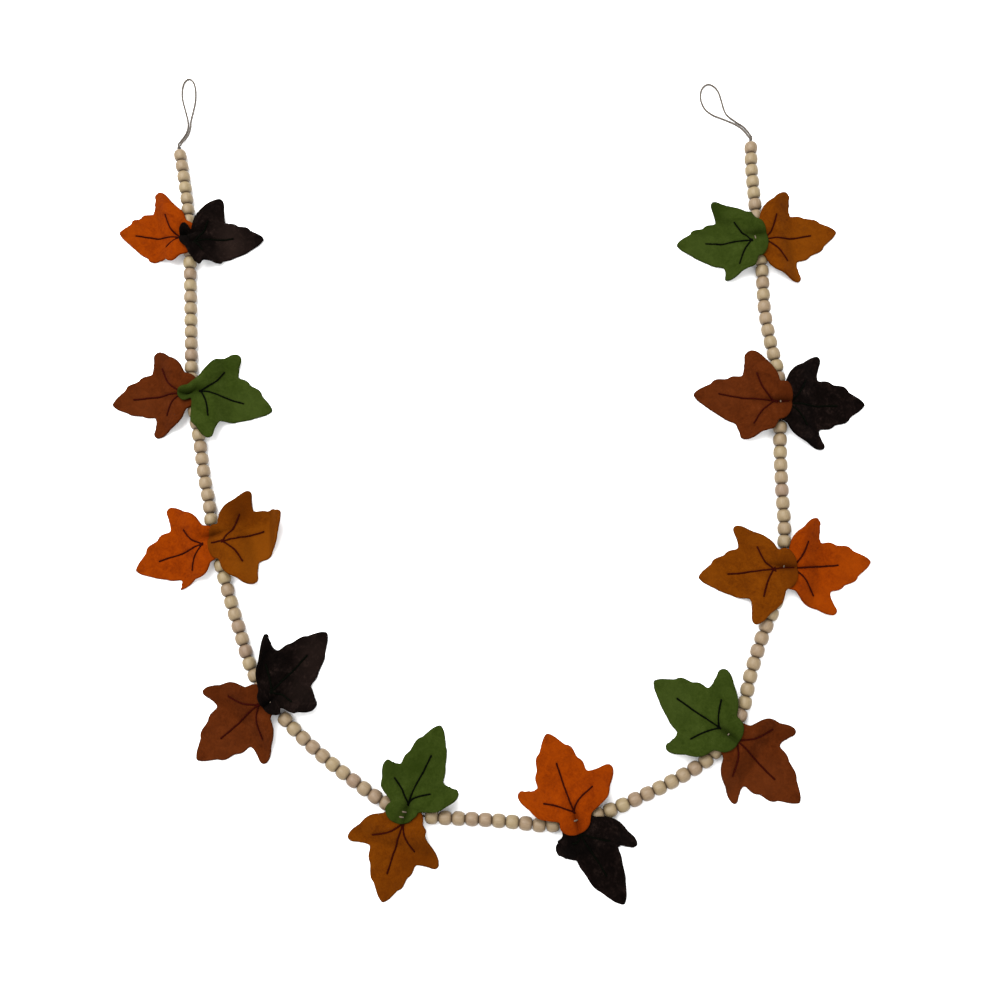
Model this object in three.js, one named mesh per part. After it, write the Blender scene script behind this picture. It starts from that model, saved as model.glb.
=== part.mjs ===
// Wool leaf bead garland: a cord strung with round wooden beads, with ten pairs of felt leaves sewn
// to it and a hanging loop at each end. It lies on a flat surface in a U.
// Millimetres, +Z up, z = 0 is the surface.
import * as THREE from "three";

// Beads: a run is a row of beads that touch, with one common axis half a bead above the surface.
const BEAD_DIAMETER = 12;
const BEAD_LENGTH = 11.2;
const BEAD_END_RADIUS = 3.6;
const BEAD_BELLY = 4.6;
const BEAD_SIDES = 8;
const RUN_BEADS = [7, 12, 10, 12, 11, 10, 11, 11, 10, 11, 7];

// Cord: bare between the runs, doubled in the hanging loops.
const CORD_DIAMETER = 1.8;
const CORD_SIDES = 8;
const GAP = 0.3;
const KNOT_RADIUS = 2.3;
const STRETCH_STEPS = 2;
const LOOP_STEPS = 30;

// The ten ties from the left end: station along the strand, how deep the felt is pinched down there,
// and how far the underside of the front leaf is above that of the back leaf.
const TIES = [
  { station: 88, depth: 5.7, step: 4.4 }, { station: 242, depth: 5.7, step: 4.1 },
  { station: 374, depth: 5.7, step: 4.7 }, { station: 529, depth: 5.7, step: 4.3 },
  { station: 680, depth: 5.7, step: 3.8 }, { station: 822, depth: 5.7, step: 4.6 },
  { station: 969, depth: 5.7, step: 3.5 }, { station: 1119, depth: 7.1, step: 5.2 },
  { station: 1265, depth: 5.7, step: 4.2 }, { station: 1422, depth: 5.7, step: 4.7 },
];

// The felt leaf lies over the strand, clear of the beads, is pinched down at its tie and falls to
// the surface on both sides.
const FELT = 2;
const OVER_BEADS = 13;
const COVER_FLAT = 12;
const COVER_REACH = 34;
const PINCH_LENGTH = 6.3;
const PINCH_REACH = 20;
const FRONT_FLAT = 26;
const FRONT_REACH = 46;
const BEND_RADIUS = 6;
const GATHER_START = -6;
const GATHER_END = 3;
const SHIFT_START = 0;
const SHIFT_END = 9;
const NORMAL_STEP = 1.5;

// Middle of the strand and leaves, in the coordinates of the tables below: the part's origin.
const CENTRE = { x: 0.3, y: -1.6 };

// Route of the strand from the top left, down, across and up to the top right.
const STRAND = [
  { x: -285.5, y: 336 }, { x: -280, y: 309 }, { x: -275, y: 281 }, { x: -271.5, y: 254 },
  { x: -269.5, y: 222 }, { x: -267, y: 184 }, { x: -264.5, y: 146 }, { x: -262.5, y: 114 },
  { x: -259, y: 86 }, { x: -253, y: 58 }, { x: -246, y: 20 }, { x: -240.5, y: -4 },
  { x: -235.5, y: -32 }, { x: -226.5, y: -62 }, { x: -217.5, y: -90 }, { x: -208, y: -117 },
  { x: -196, y: -150 }, { x: -179, y: -176 }, { x: -158, y: -199.5 }, { x: -130, y: -224 },
  { x: -101, y: -245.5 }, { x: -81, y: -258.5 }, { x: -60, y: -268 }, { x: -36, y: -271.5 },
  { x: 0, y: -273 }, { x: 30, y: -275 }, { x: 57, y: -277.5 }, { x: 81, y: -273 },
  { x: 108, y: -265.5 }, { x: 136, y: -253.5 }, { x: 162, y: -241 }, { x: 191, y: -223.5 },
  { x: 208, y: -203 }, { x: 221, y: -183.5 }, { x: 229, y: -154 }, { x: 240, y: -122.5 },
  { x: 253, y: -93 }, { x: 260, y: -63 }, { x: 263, y: -30 }, { x: 262.5, y: 8 },
  { x: 263, y: 46 }, { x: 265, y: 82 }, { x: 264, y: 110 }, { x: 258.5, y: 140 },
  { x: 255, y: 170 }, { x: 254.5, y: 208 }, { x: 252, y: 237 }, { x: 251, y: 270 },
  { x: 249.5, y: 305 }, { x: 250, y: 330 },
];

// Half the outline of the flat leaf, from the tip round one side to the end of the base tab: along the
// leaf from the point where its veins meet, and out from its middle line. The other half mirrors it.
const HALF_OUTLINE = [
  { along: 67, out: 0 }, { along: 64, out: 5 }, { along: 58, out: 9 }, { along: 53, out: 12.5 },
  { along: 49.5, out: 16.5 }, { along: 45, out: 17.5 }, { along: 39, out: 18.5 }, { along: 34.5, out: 21.5 },
  { along: 27, out: 22.5 }, { along: 27, out: 31 }, { along: 27.5, out: 37.5 }, { along: 23.5, out: 41 },
  { along: 17, out: 39 }, { along: 9, out: 33 }, { along: 3, out: 29.5 }, { along: -1, out: 25 },
  { along: -4, out: 17 }, { along: -9, out: 15.5 }, { along: -14, out: 11 }, { along: -17, out: 0 },
];
const FLAT = { tip: 67, notch: 35, notchSwing: 40, lobe: 47, lobeSwing: 60, base: 17.5, baseSwing: 105 };
const RINGS = [0.25, 0.6, 1];

const BEAD_COLOUR = 0xbaab90;
const CORD_COLOUR = 0x8a8178;
const FELT_COLOURS = { orange: 0x9e4102, ochre: 0x753c0a, rust: 0x642f10, green: 0x39431a, dark: 0x1f1412 };

// One row a leaf: its pair, its layer (the front leaf lies on the back leaf), its felt, the point where
// its veins meet and the heading of its tip in degrees. Then its tip, left lobe, left notch, right lobe
// and right notch, each as [reach in mm, swing in degrees from the heading, lift in mm], left and right
// as seen along the heading; the right corner of the base too, where it is drawn in. A bend folds a leaf
// up past a line across it, and tab is the base tab's share of its flat width, its shift to the left and
// its share of its flat length.
const LEAVES = [
  { pair: 1, layer: "back", felt: "orange", x: -279, y: 246, heading: 172, tip: [60, 0, 2],
    left: [30, 53, 0], leftNotch: [37, 37, 0], right: [52, -58, 2], rightNotch: [40, -36, 1] },
  { pair: 1, layer: "front", felt: "dark", x: -265, y: 239, heading: 7, tip: [63, 0, 1],
    left: [49, 58, 10], leftNotch: [35, 36, 2], right: [23, -54, 0], rightNotch: [29, -38, 0],
    tab: [0.75, 9, 0.75] },
  { pair: 2, layer: "back", felt: "rust", x: -269, y: 98, heading: 185, tip: [67, 3, 0],
    left: [46, 57, 1], leftNotch: [34, 37, 0], right: [45, -63, 4], rightNotch: [36, -37, 1] },
  { pair: 2, layer: "front", felt: "green", x: -254, y: 100, heading: -16, tip: [68, 0, 0],
    left: [46, 62, 5], leftNotch: [36, 38, 2], right: [46, -61, 1], rightNotch: [36, -40, 1],
    tab: [0.45, -7, 1] },
  { pair: 3, layer: "back", felt: "orange", x: -243, y: -42, heading: -165, tip: [65, 4, 0],
    left: [44, 52, 1], leftNotch: [36, 42, 1], right: [47, -62, 2], rightNotch: [35, -39, 1] },
  { pair: 3, layer: "front", felt: "ochre", x: -226, y: -37, heading: 6, tip: [68, 13, 0],
    left: [47, 60, 8], leftNotch: [36, 41, 3], right: [47, -62, 2], rightNotch: [37, -39, 1],
    tab: [1, -1, 0.7], bend: { swing: -3, from: 38, turn: 56 } },
  { pair: 4, layer: "back", felt: "rust", x: -191, y: -180, heading: -138, tip: [68, 0, 0],
    left: [48, 60, 1], leftNotch: [35, 41, 0], right: [48, -59, 2], rightNotch: [35, -41, 1] },
  { pair: 4, layer: "front", felt: "dark", x: -178, y: -168, heading: 46, tip: [67, 2, 0],
    left: [47, 60, 0], leftNotch: [34, 40, 2], right: [42, -71, 2], rightNotch: [33, -40, 1],
    tab: [0.85, -7, 0.85], bend: { swing: 128, from: 6, turn: 78 } },
  { pair: 5, layer: "back", felt: "ochre", x: -63, y: -276, heading: -107, tip: [66, 2, 0],
    left: [46, 57, 2], leftNotch: [36, 35, 1], right: [47, -61, 3], rightNotch: [34, -40, 1] },
  { pair: 5, layer: "front", felt: "green", x: -59, y: -261, heading: 67, tip: [69, 1, 0],
    left: [39, 56, 4], leftNotch: [33, 38, 1], right: [42, -59, 3], rightNotch: [33, -38, 1],
    tab: [0.8, 3.5, 1] },
  { pair: 6, layer: "back", felt: "dark", x: 83, y: -282, heading: -59, tip: [68, 1, 0],
    left: [46, 47, 3], leftNotch: [34, 39, 1], right: [25, -88, 2], rightNotch: [22, -40, 1],
    rightBase: [15.7, -113, 0] },
  { pair: 6, layer: "front", felt: "orange", x: 79, y: -267, heading: 109, tip: [67, 0, 0],
    left: [47, 57, 2], leftNotch: [35, 41, 1], right: [48, -62, 2], rightNotch: [35, -39, 1],
    tab: [0.85, 2, 1] },
  { pair: 7, layer: "back", felt: "rust", x: 217, y: -212, heading: -43, tip: [67, -1, 0],
    left: [47, 56, 4], leftNotch: [34, 42, 1], right: [47, -56, 2], rightNotch: [34, -42, 1] },
  { pair: 7, layer: "front", felt: "green", x: 202, y: -200, heading: 143, tip: [67, 0, 0],
    left: [47, 59, 3], leftNotch: [35, 42, 1], right: [49, -61, 2], rightNotch: [35, -41, 1] },
  { pair: 8, layer: "back", felt: "orange", x: 270, y: -67, heading: 7, tip: [66, 0, 0],
    left: [49, 60, 2], leftNotch: [34, 40, 1], right: [48, -58, 3], rightNotch: [35, -39, 1] },
  { pair: 8, layer: "front", felt: "ochre", x: 254, y: -66, heading: -174, tip: [65, -1, 0],
    left: [50, 62, 1], leftNotch: [34, 42, 1], right: [49, -58, 2], rightNotch: [36, -39, 1],
    tab: [1.1, 0, 1] },
  { pair: 9, layer: "back", felt: "dark", x: 272, y: 80, heading: 0, tip: [67, 0, 0],
    left: [50, 59, 4], leftNotch: [35, 40, 1], right: [48, -57, 2], rightNotch: [35, -41, 1] },
  { pair: 9, layer: "front", felt: "rust", x: 260, y: 84, heading: 174, tip: [70, 0, 0],
    left: [42, 61, 3], leftNotch: [39, 38, 1], right: [47, -61, 3], rightNotch: [35, -37, 1],
    tab: [1.1, 1, 0.85] },
  { pair: 10, layer: "back", felt: "ochre", x: 258, y: 234, heading: 6, tip: [66, 1, 0],
    left: [49, 61, 3], leftNotch: [34, 40, 1], right: [48, -61, 2], rightNotch: [35, -42, 1] },
  { pair: 10, layer: "front", felt: "green", x: 247, y: 235, heading: -178, tip: [67, 0, 0],
    left: [43, 56, 2], leftNotch: [37, 43, 1], right: [48, -47, 14], rightNotch: [36, -30, 4],
    tab: [1.1, 2, 0.75] },
];

// Hanging loops: from the knot at the end bead out along the surface, round a teardrop and back.
const LOOPS = {
  left: [
    { x: -287.2, y: 341.4, z: 5.7 }, { x: -286.9, y: 345, z: 3.6 }, { x: -285, y: 350, z: 1.4 },
    { x: -281.8, y: 356, z: 0.95 }, { x: -280.3, y: 362, z: 0.95 }, { x: -280.8, y: 369, z: 0.95 },
    { x: -283.5, y: 379, z: 0.95 }, { x: -286.8, y: 390, z: 0.95 }, { x: -288, y: 400, z: 0.95 },
    { x: -286.5, y: 409, z: 0.95 }, { x: -282, y: 413, z: 0.95 }, { x: -277.5, y: 409.5, z: 0.95 },
    { x: -275, y: 401, z: 0.95 }, { x: -274.5, y: 390, z: 0.95 }, { x: -276, y: 379, z: 0.95 },
    { x: -277.8, y: 369, z: 0.95 }, { x: -278, y: 362, z: 0.95 }, { x: -279.6, y: 355.3, z: 0.95 },
    { x: -282.8, y: 349.4, z: 1.4 }, { x: -284.6, y: 345, z: 3.6 }, { x: -285, y: 341.4, z: 5.7 },
  ],
  right: [
    { x: 249.2, y: 335.2, z: 5.7 }, { x: 248, y: 338.6, z: 3.6 }, { x: 246.1, y: 343.2, z: 1.4 },
    { x: 242.5, y: 347.6, z: 0.95 }, { x: 237.3, y: 351.4, z: 0.95 }, { x: 231, y: 354.8, z: 0.95 },
    { x: 224, y: 358, z: 0.95 }, { x: 216, y: 362, z: 0.95 }, { x: 209.5, y: 368.5, z: 0.95 },
    { x: 206.5, y: 378, z: 0.95 }, { x: 207.5, y: 387, z: 0.95 }, { x: 212.5, y: 392.5, z: 0.95 },
    { x: 218.5, y: 391, z: 0.95 }, { x: 223, y: 385, z: 0.95 }, { x: 225.5, y: 376, z: 0.95 },
    { x: 227.5, y: 367, z: 0.95 }, { x: 230.5, y: 360.5, z: 0.95 }, { x: 238.6, y: 353.4, z: 0.95 },
    { x: 244.2, y: 349.3, z: 0.95 }, { x: 248.2, y: 344.2, z: 1.4 }, { x: 250.2, y: 339, z: 3.6 },
    { x: 251.3, y: 335.5, z: 5.7 },
  ],
};

const strand = new THREE.CatmullRomCurve3(
  STRAND.map(({ x, y }) => new THREE.Vector3(x, y, BEAD_DIAMETER / 2)), false, "catmullrom", 0.5);
strand.arcLengthDivisions = 2000;
const strandLength = strand.getLength();
const strandPoints = strand.getSpacedPoints(Math.round(strandLength / 2));

// Stations where each run starts and ends: the first and last runs reach the ends of the strand, each
// other one is midway between two ties.
const runs = RUN_BEADS.map((beads, i) => {
  const length = beads * BEAD_LENGTH;
  if (i === 0) return { beads, start: 0, end: length };
  if (i === RUN_BEADS.length - 1) return { beads, start: strandLength - length, end: strandLength };
  const middle = (TIES[i - 1].station + TIES[i].station) / 2;
  return { beads, start: middle - length / 2, end: middle + length / 2 };
});

// Frame of the strand at a station: its point, and the level direction across it.
function strandFrame(station) {
  const t = THREE.MathUtils.clamp(station / strandLength, 0, 1);
  const point = strand.getPointAt(t);
  const tangent = strand.getTangentAt(t);
  return { point, across: new THREE.Vector3(tangent.y, -tangent.x, 0).normalize() };
}

function addMesh(group, name, geometry, colour, roughness) {
  const material = new THREE.MeshStandardMaterial({ color: colour, roughness, metalness: 0 });
  const mesh = new THREE.Mesh(geometry, material);
  mesh.name = name;
  group.add(mesh);
}

// A run of beads as one turned piece, then bent along the strand, with a flat side down on every bead.
function beadRun({ beads, start }) {
  const radius = BEAD_DIAMETER / 2 / Math.cos(Math.PI / BEAD_SIDES);
  const profile = [new THREE.Vector2(0, 0)];
  for (let bead = 0; bead < beads; bead += 1) {
    const near = bead * BEAD_LENGTH;
    const belly = (BEAD_LENGTH - BEAD_BELLY) / 2;
    if (bead === 0) profile.push(new THREE.Vector2(BEAD_END_RADIUS, near));
    profile.push(new THREE.Vector2(radius, near + belly));
    profile.push(new THREE.Vector2(radius, near + BEAD_LENGTH - belly));
    profile.push(new THREE.Vector2(BEAD_END_RADIUS, near + BEAD_LENGTH));
  }
  profile.push(new THREE.Vector2(0, beads * BEAD_LENGTH));
  const geometry = new THREE.LatheGeometry(profile, BEAD_SIDES, Math.PI / BEAD_SIDES);
  const position = geometry.getAttribute("position");
  for (let i = 0; i < position.count; i += 1) {
    const { point, across } = strandFrame(start + position.getY(i));
    point.addScaledVector(across, position.getX(i));
    position.setXYZ(i, point.x, point.y, point.z + position.getZ(i));
  }
  return geometry;
}

// A round cord along a curve, in so many straight steps.
function cordTube(curve, steps) {
  const section = new THREE.Shape().absarc(0, 0, CORD_DIAMETER / 2, 0, 2 * Math.PI, false);
  return new THREE.ExtrudeGeometry(section, { steps, curveSegments: CORD_SIDES / 2, extrudePath: curve });
}

// Level distance of a point from the strand, and the station next to it.
function nearStrand(x, y) {
  let best = { distance: Infinity, station: 0 };
  const spacing = strandLength / (strandPoints.length - 1);
  strandPoints.forEach((point, i) => {
    const distance = Math.hypot(point.x - x, point.y - y);
    if (distance < best.distance) best = { distance, station: i * spacing };
  });
  return best;
}

// Falls smoothly from 1 to 0 as the value goes from one limit to the other.
function fade(value, from, to) {
  const share = THREE.MathUtils.clamp((value - from) / (to - from), 0, 1);
  return (1 + Math.cos(Math.PI * share)) / 2;
}

// Height of a leaf's underside over a point of the surface, before its own lifts and bend.
function drapeHeight(x, y, leaf) {
  const { distance, station } = nearStrand(x, y);
  const pinch = TIES.reduce((sum, tie) => {
    const along = (station - tie.station) / PINCH_LENGTH;
    const across = distance / PINCH_REACH;
    return sum + tie.depth * Math.exp(-along * along - across * across);
  }, 0);
  const cover = (OVER_BEADS - pinch) * fade(distance, COVER_FLAT, COVER_REACH);
  if (leaf.layer === "back") return cover;
  const tie = TIES[leaf.pair - 1];
  const middle = strandFrame(tie.station).point;
  return cover + tie.step * fade(Math.hypot(x - middle.x, y - middle.y), FRONT_FLAT, FRONT_REACH);
}

// The landmarks of a leaf in order of their swing on the flat leaf, each with how it is stretched,
// turned and lifted.
function landmarksOf(leaf) {
  const mark = (swing, flatReach, [reach, actual, lift]) => (
    { swing, stretch: reach / flatReach, turn: actual - swing, lift });
  const rest = (swing) => ({ swing, stretch: 1, turn: 0, lift: 0 });
  const { rightBase = [FLAT.base, -FLAT.baseSwing, 0] } = leaf;
  return [
    rest(-180), mark(-FLAT.baseSwing, FLAT.base, rightBase),
    mark(-FLAT.lobeSwing, FLAT.lobe, leaf.right), mark(-FLAT.notchSwing, FLAT.notch, leaf.rightNotch),
    mark(0, FLAT.tip, leaf.tip),
    mark(FLAT.notchSwing, FLAT.notch, leaf.leftNotch), mark(FLAT.lobeSwing, FLAT.lobe, leaf.left),
    rest(FLAT.baseSwing), rest(180),
  ];
}

// A bend turns the felt up past a straight line across the leaf, round a soft edge.
function bendLeaf(point, { swing, from, turn }) {
  const towards = THREE.MathUtils.degToRad(swing);
  const direction = new THREE.Vector2(Math.cos(towards), Math.sin(towards));
  const past = point.x * direction.x + point.y * direction.y - from;
  if (past <= 0) return;
  const whole = THREE.MathUtils.degToRad(turn);
  const angle = Math.min(past / BEND_RADIUS, whole);
  const straight = past - angle * BEND_RADIUS;
  const forward = BEND_RADIUS * Math.sin(angle) + straight * Math.cos(angle) - past;
  point.x += direction.x * forward;
  point.y += direction.y * forward;
  point.z += BEND_RADIUS * (1 - Math.cos(angle)) + straight * Math.sin(angle);
}

// Where a point of the flat leaf lies: the underside of the felt.
function leafPoint(leaf, landmarks, flatAlong, flatOut) {
  const [width, shift, length] = leaf.tab ?? [1, 0, 1];
  const gathered = 1 - fade(-flatAlong, GATHER_START, GATHER_END);
  const shifted = 1 - fade(-flatAlong, SHIFT_START, SHIFT_END);
  const along = flatAlong * (flatAlong < 0 ? length : 1);
  const out = flatOut * (1 + (width - 1) * gathered) + shift * shifted;
  const swing = THREE.MathUtils.radToDeg(Math.atan2(out, along));
  const next = landmarks.findIndex((mark, i) => i > 0 && swing <= mark.swing);
  const [a, b] = [landmarks[next - 1], landmarks[next]];
  const share = 1 - fade(swing, a.swing, b.swing);
  const mix = (key) => a[key] + (b[key] - a[key]) * share;
  const reach = Math.hypot(along, out) * mix("stretch");
  const turned = THREE.MathUtils.degToRad(swing + mix("turn"));
  const lift = mix("lift") * (reach / FLAT.lobe) ** 2;
  const point = new THREE.Vector3(reach * Math.cos(turned), reach * Math.sin(turned), lift);
  if (leaf.bend) bendLeaf(point, leaf.bend);
  point.applyAxisAngle(new THREE.Vector3(0, 0, 1), THREE.MathUtils.degToRad(leaf.heading));
  point.x += leaf.x;
  point.y += leaf.y;
  point.z += drapeHeight(point.x, point.y, leaf);
  return point;
}

// A leaf: a disc of felt in rings about the point where the veins meet, each ring drawn to the leaf's
// outline and laid down, with the upper face one thickness of felt along the normal.
function feltLeaf(leaf) {
  const landmarks = landmarksOf(leaf);
  const otherHalf = HALF_OUTLINE.slice(1, -1).reverse().map(({ along, out }) => ({ along, out: -out }));
  const outline = [...HALF_OUTLINE, ...otherHalf];
  const rings = [0, ...RINGS];
  const profile = [
    ...rings.map((ring) => new THREE.Vector2(ring, -1)),
    ...rings.map((ring) => new THREE.Vector2(ring, 1)).reverse(),
  ];
  const geometry = new THREE.LatheGeometry(profile, outline.length);
  const position = geometry.getAttribute("position");
  for (let i = 0; i < position.count; i += 1) {
    const side = position.getY(i);
    const ring = rings[side < 0 ? i % profile.length : profile.length - 1 - (i % profile.length)];
    const edge = outline[Math.floor(i / profile.length) % outline.length];
    const point = leafPoint(leaf, landmarks, ring * edge.along, ring * edge.out);
    if (side > 0) {
      const nextAlong = ring * edge.along + NORMAL_STEP;
      const nextOut = ring * edge.out + NORMAL_STEP;
      const onward = leafPoint(leaf, landmarks, nextAlong, ring * edge.out).sub(point);
      const outward = leafPoint(leaf, landmarks, ring * edge.along, nextOut).sub(point);
      point.addScaledVector(onward.cross(outward).normalize(), FELT);
    }
    position.setXYZ(i, point.x, point.y, point.z);
  }
  return geometry;
}

const garland = new THREE.Group();
garland.position.set(-CENTRE.x, -CENTRE.y, 0);
const number = (i) => String(i).padStart(2, "0");

runs.forEach((run, i) => addMesh(garland, `bead_run_${number(i + 1)}`, beadRun(run), BEAD_COLOUR, 0.6));

runs.slice(1).forEach((run, i) => {
  const ends = [runs[i].end + GAP, run.start - GAP];
  const stations = [ends[0], (ends[0] + ends[1]) / 2, ends[1]];
  const curve = new THREE.CatmullRomCurve3(stations.map((station) => strandFrame(station).point));
  addMesh(garland, `cord_stretch_${number(i + 1)}`, cordTube(curve, STRETCH_STEPS), CORD_COLOUR, 0.9);
});

// Each end of the strand: a knot against the end bead, and the doubled cord of the loop.
[["left", 0, -1], ["right", strandLength, 1]].forEach(([side, station, onward]) => {
  const knot = new THREE.SphereGeometry(KNOT_RADIUS, 8, 6);
  const centre = strandFrame(station).point;
  centre.addScaledVector(strand.getTangentAt(station / strandLength), onward * (KNOT_RADIUS + GAP));
  knot.translate(centre.x, centre.y, centre.z);
  addMesh(garland, `loop_knot_${side}`, knot, CORD_COLOUR, 0.9);
  const curve = new THREE.CatmullRomCurve3(LOOPS[side].map(({ x, y, z }) => new THREE.Vector3(x, y, z)));
  addMesh(garland, `hanging_loop_${side}`, cordTube(curve, LOOP_STEPS), CORD_COLOUR, 0.9);
});

LEAVES.forEach((leaf) => {
  addMesh(garland, `leaf_${number(leaf.pair)}_${leaf.layer}`, feltLeaf(leaf), FELT_COLOURS[leaf.felt], 1);
});

export default garland;
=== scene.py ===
# %% [markdown]
# # Wool leaf bead garland
# A cord strung with 112 wooden beads carries ten pairs of felt leaves and ends in two hanging loops.
# It lies on a table in a U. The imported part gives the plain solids; every piece here is made again,
# finer, in the same place: spun beads, twisted cord, draped felt and stitches.

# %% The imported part
import math
import random

import bmesh
import bpy
import numpy as np
from mathutils import Matrix, Vector, noise


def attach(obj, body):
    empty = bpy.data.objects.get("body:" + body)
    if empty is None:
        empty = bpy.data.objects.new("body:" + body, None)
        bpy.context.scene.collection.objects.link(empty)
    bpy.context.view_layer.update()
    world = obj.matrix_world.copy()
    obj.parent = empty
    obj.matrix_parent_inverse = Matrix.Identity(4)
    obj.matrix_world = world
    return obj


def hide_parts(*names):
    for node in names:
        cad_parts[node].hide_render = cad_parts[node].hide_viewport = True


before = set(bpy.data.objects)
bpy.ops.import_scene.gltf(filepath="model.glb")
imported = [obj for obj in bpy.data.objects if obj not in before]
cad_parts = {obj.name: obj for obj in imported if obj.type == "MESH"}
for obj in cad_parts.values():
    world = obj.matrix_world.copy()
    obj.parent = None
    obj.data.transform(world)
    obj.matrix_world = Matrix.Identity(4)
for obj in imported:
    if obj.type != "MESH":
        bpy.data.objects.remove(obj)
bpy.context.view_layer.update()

MM = 0.001


def add_object(name, data):
    made = bpy.data.objects.new(name, data)
    bpy.context.collection.objects.link(made)
    return made


# %% [markdown]
# ## Camera
# The photograph looks down at the table from about a metre, a little from below the middle and from
# the right, which makes the U lean. The camera was worked out from the beads, which are all alike.

# %% Camera
CAMERA_PLACE = Vector((0.0572, -0.1747, 0.9536))
TURN_RIGHT = 2.81218
TURN_UP = 10.75797
turned_right = Matrix.Rotation(math.radians(TURN_RIGHT), 4, "Y")
turned_up = Matrix.Rotation(math.radians(TURN_UP), 4, "X")
camera_data = bpy.data.cameras.new("camera")
camera_data.lens = 40.24
camera_data.sensor_width = 36
camera_data.clip_start = 0.02
camera = add_object("camera", camera_data)
camera.matrix_world = Matrix.Translation(CAMERA_PLACE) @ turned_right @ turned_up
bpy.context.scene.camera = camera
print("camera", round(CAMERA_PLACE.z, 3), "m above the table")

# %% [markdown]
# ## Lines that other pieces follow
# A strand, a loop of cord and the edge of a leaf are all smooth lines through a few points. One
# helper draws such a line, and another reads a place on it by the length travelled. Work is done in
# millimetres, because that is how a maker measures the thing, and turned into metres at the end.

# %% Smooth lines
def smooth_line(points, steps, closed=False):
    """A line through the points that turns softly at each one, with so many steps a gap."""
    p = np.array(points, float)
    if closed:
        p = np.vstack([p[-1], p, p[:2]])
    else:
        p = np.vstack([2 * p[0] - p[1], p, 2 * p[-1] - p[-2]])
    t = (np.arange(steps) / steps)[:, None]
    gaps = [
        b + (c - a) * t / 2 + (2 * a - 5 * b + 4 * c - d) * t**2 / 2
        + (3 * b - a - 3 * c + d) * t**3 / 2
        for a, b, c, d in zip(p, p[1:], p[2:], p[3:])
    ]
    return np.vstack(gaps if closed else [*gaps, p[-2:-1]])


class Route:
    """A line that is read by the length travelled along it."""

    def __init__(self, points, steps=60):
        self.points = smooth_line(points, steps)
        gaps = np.linalg.norm(np.diff(self.points, axis=0), axis=1)
        self.travelled = np.concatenate([[0], np.cumsum(gaps)])
        self.length = self.travelled[-1]

    def at(self, length):
        return np.stack([np.interp(length, self.travelled, c) for c in self.points.T], axis=-1)

    def direction(self, length, span=0.4):
        ahead = self.at(np.minimum(length + span, self.length))
        back = self.at(np.maximum(length - span, 0))
        along = ahead - back
        return along / np.linalg.norm(along, axis=-1, keepdims=True)

# %% [markdown]
# ## The strand
# The strand runs from the top left, down, across and up to the top right, half a bead above the
# table. Its points are those of the part's own strand, moved to the part's origin.

# %% Strand
CENTRE = np.array([0.3, -1.6])
BEAD_RADIUS = 6
STRAND_POINTS = [
    (-285.5, 336), (-280, 309), (-275, 281), (-271.5, 254), (-269.5, 222), (-267, 184),
    (-264.5, 146), (-262.5, 114), (-259, 86), (-253, 58), (-246, 20), (-240.5, -4),
    (-235.5, -32), (-226.5, -62), (-217.5, -90), (-208, -117), (-196, -150), (-179, -176),
    (-158, -199.5), (-130, -224), (-101, -245.5), (-81, -258.5), (-60, -268), (-36, -271.5),
    (0, -273), (30, -275), (57, -277.5), (81, -273), (108, -265.5), (136, -253.5), (162, -241),
    (191, -223.5), (208, -203), (221, -183.5), (229, -154), (240, -122.5), (253, -93),
    (260, -63), (263, -30), (262.5, 8), (263, 46), (265, 82), (264, 110), (258.5, 140),
    (255, 170), (254.5, 208), (252, 237), (251, 270), (249.5, 305), (250, 330),
]
strand = Route([(*(np.array(p) - CENTRE), BEAD_RADIUS) for p in STRAND_POINTS])
print("strand", round(strand.length), "mm long")

# %% [markdown]
# ## Shared ways of making a piece
# Each piece is one mesh in the part's own frame, with its object at the origin. A piece is made in
# bmesh, given smooth shading and its material, and told which body it rides on, and the plain
# solids it stands for are hidden.

# %% Making a piece
def mesh_data(name, mesh):
    """Keeps a bmesh as mesh data and frees it."""
    data = bpy.data.meshes.new(name)
    mesh.to_mesh(data)
    mesh.free()
    return data


def make_piece(name, mesh_in_mm, material, stands_for=()):
    """Turns a bmesh in millimetres into an object that rides on the part."""
    bmesh.ops.scale(mesh_in_mm, vec=(MM, MM, MM), verts=mesh_in_mm.verts)
    for face in mesh_in_mm.faces:
        face.smooth = True
    piece = add_object(name, mesh_data(name, mesh_in_mm))
    piece.data.materials.append(material)
    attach(piece, "root")
    if stands_for:
        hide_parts(*stands_for)
    return piece


def spun(section, sides, merge):
    """A turned form: its half section, in places (along, out), spun full circle round X."""
    mesh = bmesh.new()
    verts = [mesh.verts.new((along, 0, out)) for along, out in section]
    edges = [mesh.edges.new(pair) for pair in zip(verts, verts[1:])]
    bmesh.ops.spin(mesh, geom=[*verts, *edges], cent=(0, 0, 0), axis=(1, 0, 0), dvec=(0, 0, 0),
                   angle=2 * math.pi, steps=sides, use_merge=True, use_duplicate=False)
    bmesh.ops.remove_doubles(mesh, verts=mesh.verts, dist=merge)
    bmesh.ops.recalc_face_normals(mesh, faces=mesh.faces)
    return mesh

# %% [markdown]
# ## Materials
# A finish is a small tree of nodes: a colour that varies over the surface at the scale of the real
# one, and a bump of the same threads or grain. One helper class keeps each recipe short.

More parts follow.
